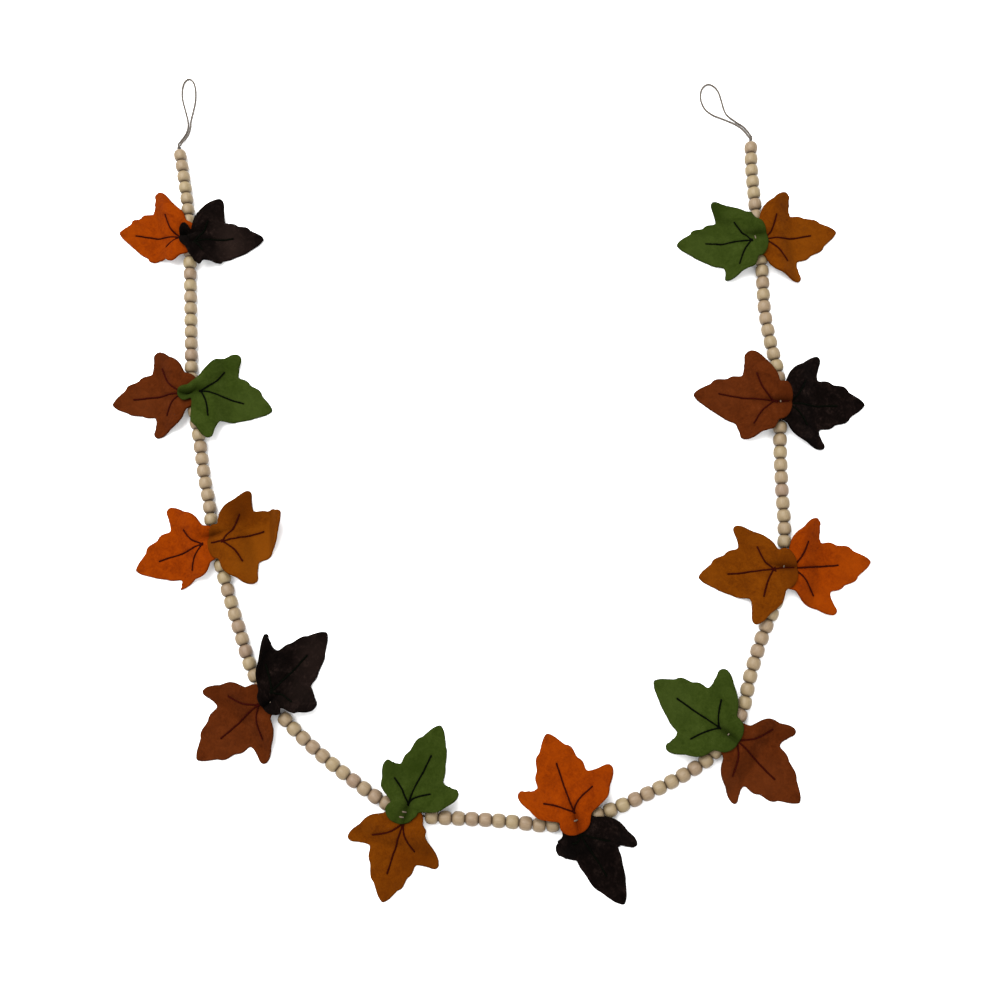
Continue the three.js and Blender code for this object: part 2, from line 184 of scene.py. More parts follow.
# %% A helper for node trees
class Recipe:
    """A material under construction: add() makes a node, links its inputs and sets the rest."""

    def __init__(self, name):
        self.material = bpy.data.materials.new(name)
        self.material.use_nodes = True
        self.tree = self.material.node_tree
        self.shader = self.tree.nodes["Principled BSDF"]

    def add(self, kind, inputs=None, **settings):
        node = self.tree.nodes.new("ShaderNode" + kind)
        for key, value in settings.items():
            setattr(node, key, value)
        for key, value in (inputs or {}).items():
            self.feed(node, key, value)
        return node

    def feed(self, node, key, value):
        if isinstance(value, bpy.types.NodeSocket):
            self.tree.links.new(value, node.inputs[key])
        else:
            node.inputs[key].default_value = value

    def math(self, operation, a, b=0.0):
        return self.add("Math", {0: a, 1: b}, operation=operation).outputs[0]

    def noise(self, vector, scale, detail=3.0, roughness=0.55, distortion=0.0):
        inputs = {"Vector": vector, "Scale": scale, "Detail": detail, "Roughness": roughness}
        return self.add("TexNoise", {**inputs, "Distortion": distortion}).outputs["Fac"]

    def turned(self, vector, scale, angle=0.0, place=(0, 0, 0)):
        inputs = {"Vector": vector, "Scale": scale, "Rotation": (0, 0, angle), "Location": place}
        return self.add("Mapping", inputs).outputs[0]

    def ramp(self, value, low, high):
        inputs = {"Value": value, "From Min": low, "From Max": high}
        return self.add("MapRange", inputs, clamp=True).outputs[0]

    def weighted(self, *terms):
        """A sum of ramps: each term is a value, its low and high end, and its weight."""
        total = None
        for value, low, high, weight in terms:
            part = self.math("MULTIPLY", self.ramp(value, low, high), weight)
            total = part if total is None else self.math("ADD", total, part)
        return total

    def blend(self, share, a, b):
        node = self.add("Mix", data_type="RGBA")
        self.feed(node, 0, share)
        self.feed(node, 6, a)
        self.feed(node, 7, b)
        return node.outputs[2]

    def attribute(self, name):
        return self.add("Attribute", attribute_name=name)

    def finish(self, colour, height, bump, **constants):
        self.feed(self.shader, "Base Color", colour)
        bumped = self.add("Bump", {"Height": height, "Strength": 1.0, "Distance": bump})
        self.feed(self.shader, "Normal", bumped.outputs[0])
        for key, value in constants.items():
            self.shader.inputs[key.replace("_", " ")].default_value = value
        return self.material


LIGHT_LEVEL = 2.7


def paint(red, green, blue):
    """A colour as the photograph shows it, 0 to 255, as the share of light that the thing sends back.

    The studio light burns the paper out to white, so a thing's own colour is darker than it looks.
    """
    def light(v):
        v /= 255
        return (v / 12.92 if v <= 0.04045 else ((v + 0.055) / 1.055) ** 2.4) / LIGHT_LEVEL
    return (light(red), light(green), light(blue), 1.0)

# %% [markdown]
# ## Felt
# Wool felt is a mat of short fibres that lie every way. Close up it shows crossing hairs, from
# further off soft cloudy patches, a few pale specks of lint, and a fine bloom where light grazes it.
# The nodes read the leaf's own UV map, in which 1 is 100 mm of flat felt, so the pattern follows
# each fold. The cut edge and the gathered base carry painted shade, and soft patches carry painted
# shade and painted light.

# %% Felt recipe
def felt_material(name, deep, main, bright, lint):
    recipe = Recipe(name)
    uv = recipe.add("UVMap", uv_map="felt").outputs[0]
    cloud = recipe.noise(uv, 11.0, 4.0, 0.62, 0.6)
    mottle = recipe.noise(recipe.turned(uv, (1, 1, 1), 0.7, (3, 1, 0)), 46.0, 4.0, 0.7)
    first, second, third = [
        recipe.noise(recipe.turned(uv, stretch, turn), 1.0, 2.0, 0.6, 0.8)
        for stretch, turn in (((60, 380, 1), 0.5), ((340, 70, 1), 0.2), ((75, 420, 1), -0.7))
    ]
    hairs = recipe.math("MAXIMUM", first, recipe.math("MAXIMUM", second, third))
    lightness = recipe.weighted((cloud, 0.3, 0.7, 0.5), (mottle, 0.3, 0.7, 0.45), (hairs, 0.5, 0.75, 0.4))
    colour = recipe.blend(recipe.ramp(lightness, 0.2, 0.7), deep, main)
    colour = recipe.blend(recipe.ramp(lightness, 0.7, 1.25), colour, bright)
    specks = recipe.add("TexVoronoi", {"Vector": recipe.turned(uv, (1, 1.6, 1), 1.1), "Scale": 70.0})
    sparse = recipe.ramp(recipe.noise(uv, 9.0, 2.0), 0.48, 0.62)
    speck = recipe.math("MULTIPLY", recipe.ramp(specks.outputs["Distance"], 0.13, 0.05), sparse)
    colour = recipe.blend(recipe.math("MULTIPLY", speck, 0.5), colour, lint)
    # Painted shade and painted light from soft patches and from the valley of a gathered base
    painted_shading = recipe.attribute("painted_shading").outputs["Fac"]
    colour = recipe.blend(recipe.ramp(painted_shading, 0, -1.4), colour, bright)
    colour = recipe.blend(recipe.ramp(painted_shading, 0, 1.2), colour, deep)
    # Painted shade at the cut edge, in the vein troughs, where the tie squeezes and at the end of the tab
    colour = recipe.blend(recipe.attribute("shade").outputs["Fac"], colour, deep)
    height = recipe.math("ADD", recipe.math("MULTIPLY", hairs, 0.6), recipe.math("MULTIPLY", mottle, 0.8))
    return recipe.finish(colour, height, 0.0005, Roughness=1.0, Specular_IOR_Level=0.02,
                         Sheen_Weight=0.03, Sheen_Roughness=0.5, Sheen_Tint=bright)


FELT_COLOURS = {
    # felt: deep, main, bright and lint
    "orange": [(122, 42, 1), (157, 61, 0), (170, 72, 3), (196, 124, 72)],
    "ochre": [(98, 44, 1), (124, 61, 2), (138, 73, 8), (166, 116, 66)],
    "rust": [(72, 28, 5), (95, 41, 10), (112, 54, 22), (160, 108, 84)],
    "green": [(42, 56, 10), (58, 72, 22), (70, 84, 33), (132, 138, 100)],
    "dark": [(4, 2, 1), (18, 10, 8), (62, 47, 41), (96, 84, 78)],
}
FELTS = {
    felt: felt_material(f"felt_{felt}", *[paint(*colour) for colour in colours])
    for felt, colours in FELT_COLOURS.items()
}
print("felts:", *FELTS)

# %% [markdown]
# ## Wood
# Each bead is turned from pale wood and left bare, so no two have quite the same tone: some are
# yellow, some pink or brown. Every bead carries its own tone and its own grain coordinates, which
# lie along the turned axis, and its ends carry painted shade round the hole, where it meets the
# next bead.

# %% Wood recipe
def wood_material():
    recipe = Recipe("bare_wood")
    grain_at = recipe.attribute("grain").outputs["Vector"]
    rings = recipe.noise(recipe.turned(grain_at, (0.25, 2.2, 2.2)), 0.35, 3.0, 0.6, 1.5)
    streaks = recipe.noise(recipe.turned(grain_at, (0.16, 3.0, 3.0)), 1.6, 4.0, 0.65)
    pores = recipe.noise(recipe.turned(grain_at, (1.2, 9.0, 9.0)), 1.3, 2.0, 0.5)
    tone = recipe.attribute("tone").outputs["Fac"]
    pale = recipe.blend(tone, paint(173, 145, 116), paint(185, 163, 120))
    brown = recipe.blend(tone, paint(130, 100, 73), paint(151, 129, 88))
    share = recipe.weighted((rings, 0.35, 0.65, 0.5), (streaks, 0.35, 0.7, 0.45))
    colour = recipe.blend(share, pale, brown)
    colour = recipe.blend(recipe.math("MULTIPLY", recipe.ramp(pores, 0.62, 0.72), 0.4), colour,
                          paint(122, 96, 72))
    # Painted shade on the ends of the bead, round the hole, where it meets the next bead
    painted_end_shade = recipe.attribute("painted_end_shade").outputs["Fac"]
    colour = recipe.blend(painted_end_shade, colour, paint(84, 62, 44))
    height = recipe.math("ADD", recipe.math("MULTIPLY", streaks, 0.5), recipe.math("MULTIPLY", pores, -0.4))
    return recipe.finish(colour, height, 0.00012, Roughness=0.52, Specular_IOR_Level=0.35)


WOOD = wood_material()

# %% [markdown]
# ## Cord and thread
# The cord is three yarns laid together: the yarns are modelled, and the nodes add their fibres and
# painted shade in the groove between them. Sewing thread is much finer, so a soft streak along
# it is enough.

# %% Cord and thread recipes
def yarn_material(name, deep, main, stretch, roughness, bump, gloss):
    recipe = Recipe(name)
    uv = recipe.add("UVMap", uv_map="along").outputs[0]
    fibres = recipe.noise(recipe.turned(uv, stretch), 1.0, 4.0, 0.7, 0.4)
    patches = recipe.noise(recipe.turned(uv, (0.3, 0.3, 1), 0.3), 1.0, 3.0, 0.6)
    share = recipe.weighted((fibres, 0.3, 0.7, 0.65), (patches, 0.35, 0.65, 0.35))
    colour = recipe.blend(share, deep, main)
    # Painted shade in the groove between the yarns
    groove_shade = recipe.attribute("groove_shade").outputs["Fac"]
    colour = recipe.blend(recipe.math("MULTIPLY", groove_shade, 0.6), colour, deep)
    return recipe.finish(colour, fibres, bump, Roughness=roughness, Specular_IOR_Level=gloss)


def thread_material(name, deep, main, roughness=1.0, gloss=0.02):
    return yarn_material(name, deep, main, (2, 6, 1), roughness, 0.00006, gloss)


CORD = yarn_material("twisted_cord", paint(88, 78, 70), paint(148, 138, 126),
                     (1.2, 5, 1), 0.85, 0.0002, 0.2)
THREADS = {
    "maroon": thread_material("maroon_thread", paint(26, 3, 2), paint(76, 16, 8)),
    "black": thread_material("black_thread", paint(1, 2, 1), paint(10, 14, 5)),
    "pale": thread_material("pale_thread", paint(104, 88, 76), paint(164, 144, 126), 0.9, 0.1),
}
print(len(bpy.data.materials), "materials")

# %% [markdown]
# ## Cords
# A tube of cord starts as a flat grid: one way is the length, the other goes round. Each point of
# the grid is then carried to the route, on a section with three round yarns that turn as they go.
# The first and last column meet and are merged, and the two open ends are closed.

# %% A twisted cord along a route
CORD_DIAMETER = 1.8
CORD_LAY = 5.2
CORD_YARNS = 3
CORD_SIDES = 18
CORD_STEP = 0.55
GROOVE = 0.2


def cord_mesh(route, diameter=CORD_DIAMETER, closed=False, side=(0, 0, 1)):
    """A bmesh of twisted cord: its grid is (length, turn), rolled round the route."""
    steps = max(2, round(route.length / CORD_STEP))
    mesh = bmesh.new()
    bmesh.ops.create_grid(mesh, x_segments=steps, y_segments=CORD_SIDES, size=0.5)
    uv_layer = mesh.loops.layers.uv.new("along")
    groove_shade_layer = mesh.verts.layers.float.new("groove_shade")
    share = np.array([v.co for v in mesh.verts])[:, :2] + 0.5
    for vertex in mesh.verts:
        for loop in vertex.link_loops:
            place = share[vertex.index]
            loop[uv_layer].uv = (place[0] * route.length, place[1] * math.pi * diameter)
    length = share[:, 0] * route.length
    centre = route.at(length)
    along = route.direction(length)
    across = np.cross(np.array(side, float), along)
    across /= np.linalg.norm(across, axis=1, keepdims=True)
    up = np.cross(along, across)
    turn = share[:, 1] * 2 * math.pi
    yarn = np.abs(np.cos(CORD_YARNS / 2 * (turn - 2 * math.pi * length / CORD_LAY)))
    radius = diameter / 2 * (1 - GROOVE + GROOVE * yarn)
    place = centre + (across * np.cos(turn)[:, None] + up * np.sin(turn)[:, None]) * radius[:, None]
    # Painted shade in the groove between the yarns, strongest away from each yarn's crest
    for vertex, point, crest in zip(mesh.verts, place, yarn):
        vertex.co = point
        vertex[groove_shade_layer] = float(np.clip(1 - 1.6 * crest, 0, 1))
    bmesh.ops.remove_doubles(mesh, verts=mesh.verts, dist=0.01)
    if not closed:
        ends = [edge for edge in mesh.edges if edge.is_boundary]
        bmesh.ops.holes_fill(mesh, edges=ends)
    bmesh.ops.recalc_face_normals(mesh, faces=mesh.faces)
    return mesh

# %% [markdown]
# ## Hanging loops
# At each end the cord comes out of the last bead, is knotted, runs out over the table side by side,
# opens into a loop and comes back. The route points are those of the part's loops.

# %% Loops
LOOP_POINTS = {
    "left": [
        (-287.2, 341.4, 5.7), (-286.9, 345, 3.6), (-285, 350, 1.4), (-281.8, 356, 0.95),
        (-280.3, 362, 0.95), (-280.8, 369, 0.95), (-283.5, 379, 0.95), (-286.8, 390, 0.95),
        (-288, 400, 0.95), (-286.5, 409, 0.95), (-282, 413, 0.95), (-277.5, 409.5, 0.95),
        (-275, 401, 0.95), (-274.5, 390, 0.95), (-276, 379, 0.95), (-277.8, 369, 0.95),
        (-278, 362, 0.95), (-279.6, 355.3, 0.95), (-282.8, 349.4, 1.4), (-284.6, 345, 3.6),
        (-285, 341.4, 5.7),
    ],
    "right": [
        (249.2, 335.2, 5.7), (248, 338.6, 3.6), (246.1, 343.2, 1.4), (242.5, 347.6, 0.95),
        (237.3, 351.4, 0.95), (231, 354.8, 0.95), (224, 358, 0.95), (216, 362, 0.95),
        (209.5, 368.5, 0.95), (206.5, 378, 0.95), (207.5, 387, 0.95), (212.5, 392.5, 0.95),
        (218.5, 391, 0.95), (223, 385, 0.95), (225.5, 376, 0.95), (227.5, 367, 0.95),
        (230.5, 360.5, 0.95), (238.6, 353.4, 0.95), (244.2, 349.3, 0.95), (248.2, 344.2, 1.4),
        (250.2, 339, 3.6), (251.3, 335.5, 5.7),
    ],
}
KNOT_OUT = 2.6
KNOT_SIZE = 0.7
KNOT_CORD = 1.5


def knot_points(centre):
    """The over-and-under line of an overhand knot pulled tight, closed on itself."""
    turns = np.linspace(0, 2 * math.pi, 37)
    line = np.stack([np.sin(turns) + 2 * np.sin(2 * turns), np.cos(turns) - 2 * np.cos(2 * turns),
                     -1.25 * np.sin(3 * turns)], axis=1)
    return centre + line[:, [2, 0, 1]] * KNOT_SIZE


for side, station, onward in (("left", 0, -1), ("right", strand.length, 1)):
    centre = strand.at(station) + strand.direction(station) * onward * KNOT_OUT
    tied = cord_mesh(Route(knot_points(centre), 4), KNOT_CORD, closed=True, side=(1, 0, 0.2))
    knot = make_piece(f"knot_{side}", tied, CORD, [f"loop_knot_{side}"])
    route = Route([(*(np.array(p[:2]) - CENTRE), p[2]) for p in LOOP_POINTS[side]], 12)
    loop = make_piece(f"loop_{side}", cord_mesh(route), CORD, [f"hanging_loop_{side}"])
    print("loop", side, round(route.length, 1), "mm of cord")

# %% [markdown]
# ## Beads
# A bead is a barrel 12 mm across with a drilled hole. Its half section is one smooth line from the
# lip of the hole over the belly to the other lip, spun full circle round the hole's axis. The hole
# is closed a little way in, where the cord fills it. Each bead gets a turn, a small tilt, a tone and
# grain of its own, and the beads of a run are one piece.

# %% One bead
BEAD_LENGTH = 11.2
BEAD_SHAPE = 2.6
BEAD_SIDES = 26
BEAD_GAP = 0.04
HOLE_RADIUS = 1.25
PLUG_DEPTH = 0.9
BARREL_LENGTH = 1.07
BEAD_TONES = (0.55, 0.34)
BEAD_SIZES = (0.985, 1.0)
BEAD_TILT = 1.6
GRAIN_SHIFTS = [(0, 500), (-8, 8), (-8, 8)]
# Painted shade on a bead's ends: how far out from the axis it reaches, how it fades and its most
END_SHADE_OUT = 5.2
END_SHADE_WIDTH = 2.2
END_SHADE_MOST = 0.9
RUN_BEADS = [7, 12, 10, 12, 11, 10, 11, 11, 10, 11, 7]
TIE_STATIONS = [88, 242, 374, 529, 680, 822, 969, 1119, 1265, 1422]


def bead_section():
    """Half the section of a bead, from one lip of the hole to the other: (along, out)."""
    half = BEAD_LENGTH / 2 - BEAD_GAP
    whole = half * BARREL_LENGTH
    plug = half - PLUG_DEPTH
    section = [(-plug, 0.0), (-plug, HOLE_RADIUS - 0.2), (-half + 0.25, HOLE_RADIUS)]
    for along in half * np.sin(np.radians([-90, -80, -68, -54, -38, -20, 0, 20, 38, 54, 68, 80, 90])):
        section.append((along, BEAD_RADIUS * (1 - abs(along / whole) ** BEAD_SHAPE) ** (1 / BEAD_SHAPE)))
    section += [(half - 0.25, HOLE_RADIUS), (plug, HOLE_RADIUS - 0.2), (plug, 0.0)]
    return section


one_bead = mesh_data("one_bead", spun(bead_section(), BEAD_SIDES, 0.001))
print("a bead has", len(one_bead.polygons), "faces")

# %% [markdown]
# The runs at both ends reach the strand's ends, and each other run sits midway between two ties.

# %% Runs of beads
bead_luck = random.Random(7)


def add_bead(run, station):
    """Copies the bead into the run's mesh at a station, with its own turn, tilt, tone and grain."""
    tone_layer = run.verts.layers.float["tone"]
    painted_end_shade_layer = run.verts.layers.float["painted_end_shade"]
    grain_layer = run.verts.layers.float_vector["grain"]
    before = len(run.verts)
    run.from_mesh(one_bead)
    run.verts.ensure_lookup_table()
    verts = run.verts[before:]
    tone = min(1, max(0, bead_luck.gauss(*BEAD_TONES)))
    shift = Vector([bead_luck.uniform(*reach) for reach in GRAIN_SHIFTS])
    spin = Matrix.Rotation(bead_luck.uniform(0, 2 * math.pi), 3, "X")
    size = bead_luck.uniform(*BEAD_SIZES)
    along = Vector(strand.direction(station))
    heading = math.atan2(along.y, along.x) + math.radians(bead_luck.gauss(0, BEAD_TILT))
    place = Vector(strand.at(station)) + Vector((0, 0, -BEAD_RADIUS * (1 - size)))
    for vertex in verts:
        inner = spin @ vertex.co
        vertex[tone_layer] = tone
        vertex[grain_layer] = inner + shift
        # Painted shade on the ends, near the hole, where the bead meets the next one
        out = math.hypot(vertex.co.y, vertex.co.z)
        vertex[painted_end_shade_layer] = max(0.0, min(1.0, (END_SHADE_OUT - out) / END_SHADE_WIDTH)) * END_SHADE_MOST
        vertex.co.yz = vertex.co.yz * size
    turn = Matrix.Rotation(heading, 4, "Z")
    bmesh.ops.transform(run, matrix=Matrix.Translation(place) @ turn, verts=verts)


lengths = [beads * BEAD_LENGTH for beads in RUN_BEADS]
ties_and_lengths = zip(TIE_STATIONS, TIE_STATIONS[1:], lengths[1:])
run_starts = [(before + after - length) / 2 for before, after, length in ties_and_lengths]
run_starts = [0, *run_starts, strand.length - lengths[-1]]
for i, (beads, start) in enumerate(zip(RUN_BEADS, run_starts), 1):
    run = bmesh.new()
    run.verts.layers.float.new("tone")
    run.verts.layers.float.new("painted_end_shade")
    run.verts.layers.float_vector.new("grain")
    for bead in range(beads):
        add_bead(run, start + (bead + 0.5) * BEAD_LENGTH)
    make_piece(f"beads_{i:02d}", run, WOOD, [f"bead_run_{i:02d}"])
print(sum(RUN_BEADS), "beads in", len(RUN_BEADS), "runs")

# %% [markdown]
# Between two runs the cord is bare for 19 to 34 mm, under the gathered base of the leaves.

# %% Cord between the runs
GAP = 0.3
for i, (start, beads) in enumerate(zip(run_starts[:-1], RUN_BEADS), 1):
    stations = np.linspace(start + beads * BEAD_LENGTH - GAP, run_starts[i] + GAP, 5)
    stretch = Route(strand.at(stations), 10)
    make_piece(f"cord_{i:02d}", cord_mesh(stretch), CORD, [f"cord_stretch_{i:02d}"])
print(i, "bare stretches of cord, the last", round(stretch.length, 1), "mm long")

# %% [markdown]
# ## The flat leaf
# All twenty leaves were cut with one die. The cut edge is a closed smooth line, filled as one face;
# a narrow band along the edge is inset, so that the edge can be thinner, and planes cut the whole
# into small squares that can drape. One flat leaf is made and copied for every leaf.

# %% Flat leaf
HALF_EDGE = [
    (67.3, 0), (66.3, 2.1), (63.3, 5.2), (59.6, 7.8), (56.0, 10.2), (53.8, 12.0), (52.6, 14.2),
    (50.3, 16.3), (47.0, 17.3), (43.3, 17.7), (40.6, 18.4), (38.6, 20.1), (35.6, 21.6),
    (32.0, 21.8), (29.2, 21.6), (27.1, 22.8), (26.6, 26.5), (26.9, 31.0), (27.9, 35.8),
    (27.9, 38.8), (26.2, 40.9), (23.2, 41.3), (19.0, 39.8), (15.2, 37.2), (12.2, 34.8),
    (9.0, 33.2), (5.6, 31.4), (2.4, 28.8), (-0.2, 25.4), (-2.2, 21.0), (-4.0, 17.4),
    (-7.0, 16.0), (-10.4, 14.6), (-13.2, 12.0), (-15.4, 8.2), (-16.6, 4.2),
]
TAB_END = (-17.0, 0)
DICE = 1.15
BAND = 0.55


def flat_leaf():
    """The flat leaf's mesh in millimetres, its area and the vertices on its cut edge."""
    other_half = [(along, -out) for along, out in HALF_EDGE[:0:-1]]
    edge = smooth_line([*HALF_EDGE, TAB_END, *other_half], 3, closed=True)
    mesh = bmesh.new()
    face = mesh.faces.new([mesh.verts.new((along, out, 0)) for along, out in edge])
    if face.normal.z < 0:
        face.normal_flip()
    bmesh.ops.inset_region(mesh, faces=mesh.faces, thickness=BAND, use_even_offset=True)
    for normal, low, high in ((Vector((1, 0, 0)), -17, 67), (Vector((0, 1, 0)), -41, 41)):
        for cut in np.arange(low, high, DICE):
            everything = [*mesh.verts, *mesh.edges, *mesh.faces]
            bmesh.ops.bisect_plane(mesh, geom=everything, dist=0.02,
                                   plane_co=normal * cut, plane_no=normal)
    area = sum(f.calc_area() for f in mesh.faces)
    mesh.verts.index_update()
    rim = {v.index for v in mesh.verts if v.is_boundary}
    return mesh_data("flat_leaf", mesh), area, rim


leaf_data, leaf_area, leaf_rim = flat_leaf()
leaf_flat = np.array([v.co[:2] for v in leaf_data.vertices])
print("a flat leaf:", len(leaf_data.polygons), "faces,", round(leaf_area), "mm2,",
      np.round(np.ptp(leaf_flat, axis=0), 1), "mm")

# %% [markdown]
# ## How a leaf lies
# Each row of the table is one leaf, 1B the back leaf of the first pair and 1F the front one: where
# its veins meet, where it points, and for its tip, lobes and notches how far out, how far round and
# how high they lie. They follow the part's own rows. The flat leaf is drawn to those landmarks,
# folded up past a line where it has a bend, turned to its heading and laid over the strand.

# %% Table of leaves
LEAVES = [
    # leaf, felt, x, y, heading, tip, left, left notch, right, right notch
    ("1B", "orange", -279, 246, 172, (60, 0, 2), (27, 53, 0), (35.5, 37, 0), (52, -58, 2), (40, -36, 1)),
    ("1F", "dark", -265, 239, 7, (63, 0, 1), (49, 58, 10), (35, 36, 2), (22, -54, 0), (28.5, -38, 0)),
    ("2B", "rust", -269, 98, 185, (67, 3, 0), (46, 57, 1), (34, 37, 0), (45, -63, 4), (36, -37, 1)),
    ("2F", "green", -254, 100, -16, (68, 0, 0), (46, 62, 5), (36, 38, 2), (46, -61, 1), (36, -40, 1)),
    ("3B", "orange", -243, -42, -165, (65, 4, 0), (45, 50, 1), (36, 42, 1), (47, -62, 2), (35, -39, 1)),
    ("3F", "ochre", -226, -37, 6, (68, 13, 0), (47, 60, 8), (36, 41, 3), (47, -62, 2), (37, -39, 1)),
    ("4B", "rust", -191, -180, -138, (68, 0, 0), (48, 60, 1), (35, 41, 0), (48, -59, 2), (35, -41, 1)),
    ("4F", "dark", -178, -168, 46, (67, 2, 0), (51, 57, 0), (34, 40, 2), (39, -71, 2), (33, -40, 1)),
    ("5B", "ochre", -63, -276, -107, (66, 2, 0), (47, 60, 2), (36, 35, 1), (47, -61, 3), (34, -40, 1)),
    ("5F", "green", -59, -261, 67, (69, 1, 0), (39, 56, 4), (33, 38, 1), (42, -59, 3), (33, -38, 1)),
    ("6B", "dark", 83, -282, -59, (68, 1, 0), (45, 48, 3), (34, 39, 1), (23, -88, 2), (23, -40, 1)),
    ("6F", "orange", 79, -267, 109, (67, 0, 0), (47, 57, 2), (35, 41, 1), (48, -62, 2), (35, -39, 1)),
    ("7B", "rust", 217, -212, -43, (67, -1, 0), (47, 59, 4), (34, 42, 1), (47, -56, 2), (34, -42, 1)),
    ("7F", "green", 202, -200, 143, (67, 0, 0), (47, 59, 3), (35, 42, 1), (49, -61, 2), (35, -41, 1)),
    ("8B", "orange", 270, -67, 7, (66, 0, 0), (49, 60, 2), (34, 40, 1), (48, -58, 3), (35, -39, 1)),
    ("8F", "ochre", 254, -66, -174, (65, -1, 0), (50, 62, 1), (34, 42, 1), (49, -58, 2), (36, -39, 1)),
    ("9B", "dark", 272, 80, 0, (67, 0, 0), (50, 59, 4), (35, 40, 1), (48, -57, 2), (35, -41, 1)),
    ("9F", "rust", 260, 84, 174, (70, 0, 0), (42, 61, 3), (39, 38, 1), (47, -61, 3), (35, -37, 1)),
    ("10B", "ochre", 258, 234, 6, (66, 1, 0), (49, 61, 3), (34, 40, 1), (48, -61, 2), (35, -42, 1)),
    ("10F", "green", 247, 235, -178, (67, 0, 0), (43, 59, 2), (36, 44, 1), (48, -47, 14), (36, -30, 4)),
]
FACTS = ("name", "felt", "x", "y", "heading", "tip", "left", "left_notch", "right", "right_notch")
leaves = [dict(zip(FACTS, row)) for row in LEAVES]
for leaf in leaves:
    leaf["pair"] = int(leaf["name"][:-1])
    leaf["layer"] = "back" if leaf["name"].endswith("B") else "front"
    leaf["node"] = f"leaf_{leaf['pair']:02d}_{leaf['layer']}"
    leaf["place"] = np.array([leaf["x"], leaf["y"]]) - CENTRE
print(len(leaves), "leaves at", len(TIE_STATIONS), "ties")

# %% [markdown]
# Felt laid over the strand is as high as the beads, falls softly to the table on both sides and is
# pinched down at the tie. The front leaf lies one felt higher there than the back leaf.

# %% Drape over the strand
FELT = 2.0
OVER_BEADS = 12.35
COVER_FLAT = 12
COVER_REACH = 34
PINCH_DEPTH = 3.6
PINCH_LENGTH = 6.3
PINCH_REACH = 20
CREASE_DEPTH = 1.1
CREASE_WIDTH = 3.0
CREASE_REACH = 15
PRESS = 0.5
PRESS_WIDTH = 3.2
PRESS_REACH = 12
FRONT_FLAT = 26
FRONT_REACH = 46
FRONT_GAP = 0.25
strand_places = strand.at(np.arange(0, strand.length, 1.0))[:, :2]


def fade(value, start, end):
    """Falls softly from 1 to 0 as the value goes from start to end."""
    return (1 + np.cos(np.pi * np.clip((value - start) / (end - start), 0, 1))) / 2


def hollow(places, station, along_reach, across_reach):
    """A soft hollow of depth 1 about a tie: its length along the strand, then across it."""
    away = places - strand.at(station)[:2]
    direction = strand.direction(station)[:2]
    along = away @ direction
    across = away @ np.array([-direction[1], direction[0]])
    return np.exp(-(along / along_reach) ** 2 - (across / across_reach) ** 2)


def cover(places):
    """Height of felt that is laid over the strand and pinched down at each tie."""
    distance = np.linalg.norm(places[:, None, :] - strand_places[None, :, :], axis=2).min(axis=1)
    height = np.full(len(places), OVER_BEADS)
    for tie in TIE_STATIONS:
        height -= PINCH_DEPTH * hollow(places, tie, PINCH_LENGTH, PINCH_REACH)
        height -= CREASE_DEPTH * hollow(places, tie, CREASE_WIDTH, CREASE_REACH)
    return height * fade(distance, COVER_FLAT, COVER_REACH)


def pressed(places, leaf):
    """Share of the felt's thickness that is left where the tie squeezes it."""
    return 1 - PRESS * hollow(places, TIE_STATIONS[leaf["pair"] - 1], PRESS_WIDTH, PRESS_REACH)


def drape(places, leaf):
    """Height of the leaf's underside: a front leaf lies on the upper face of the back leaf."""
    height = cover(places)
    if leaf["layer"] == "back":
        return height
    step = 0.5
    slope_x = (cover(places + (step, 0)) - cover(places - (step, 0))) / (2 * step)
    slope_y = (cover(places + (0, step)) - cover(places - (0, step))) / (2 * step)
    upright = FELT * pressed(places, leaf) * np.sqrt(1 + slope_x**2 + slope_y**2) + FRONT_GAP
    middle = strand.at(TIE_STATIONS[leaf["pair"] - 1])[:2]
    return height + upright * fade(np.linalg.norm(places - middle, axis=1), FRONT_FLAT, FRONT_REACH)


tie_heights = cover(strand.at(np.array(TIE_STATIONS))[:, :2])
print("felt lies", OVER_BEADS, "mm up on the strand and", round(float(tie_heights.mean()), 1), "at a tie")

# %% [markdown]
# No two leaves kept the shape of the die. Some have lost their scallops, some tabs are gathered by
# the tie or pulled to one side, and some edges between a lobe and the tab are drawn in.

# %% How each leaf departs from the die
LANDMARKS = [
    # landmark, its swing from the tip in degrees, left above 0, and how far out it is
    ("right_base", -105, 17.5), ("right", -60, 47), ("right_notch", -40, 35), ("tip", 0, 67),
    ("left_notch", 40, 35), ("left", 60, 47), ("left_base", 105, 17.5),
]
MOVED_BASES = {"6B": {"right_base": (14, -109, 0)}}
LOBE_REACH = 47
SOFT_EDGE = [(67.3, 0), (66.3, 2.1), (63.3, 5.2), (56, 9.8), (50, 13), (43, 16.6), (36, 19.8), (29.2, 21.6)]
SOFT_EDGES = {
    # leaf: share of its scallops that it has lost along its left and its right edge
    "1B": (1, 0.2), "1F": (0.4, 0.8), "2B": (0.5, 0.2), "2F": (0.2, 0.9),
    "3B": (0.9, 0.1), "3F": (0.5, 0.5), "4B": (0.2, 0.3), "4F": (0.5, 0.6),
    "5B": (0.3, 0.4), "5F": (0.2, 0.7), "6B": (0.8, 0.1), "6F": (0.2, 0),
    "7B": (0.5, 0.1), "7F": (0.9, 0.1), "8B": (0.1, 0.2), "8F": (0.9, 0.3),
    "9B": (0, 0.1), "9F": (1, 0), "10B": (0.4, 0.3), "10F": (0.9, 0),
}
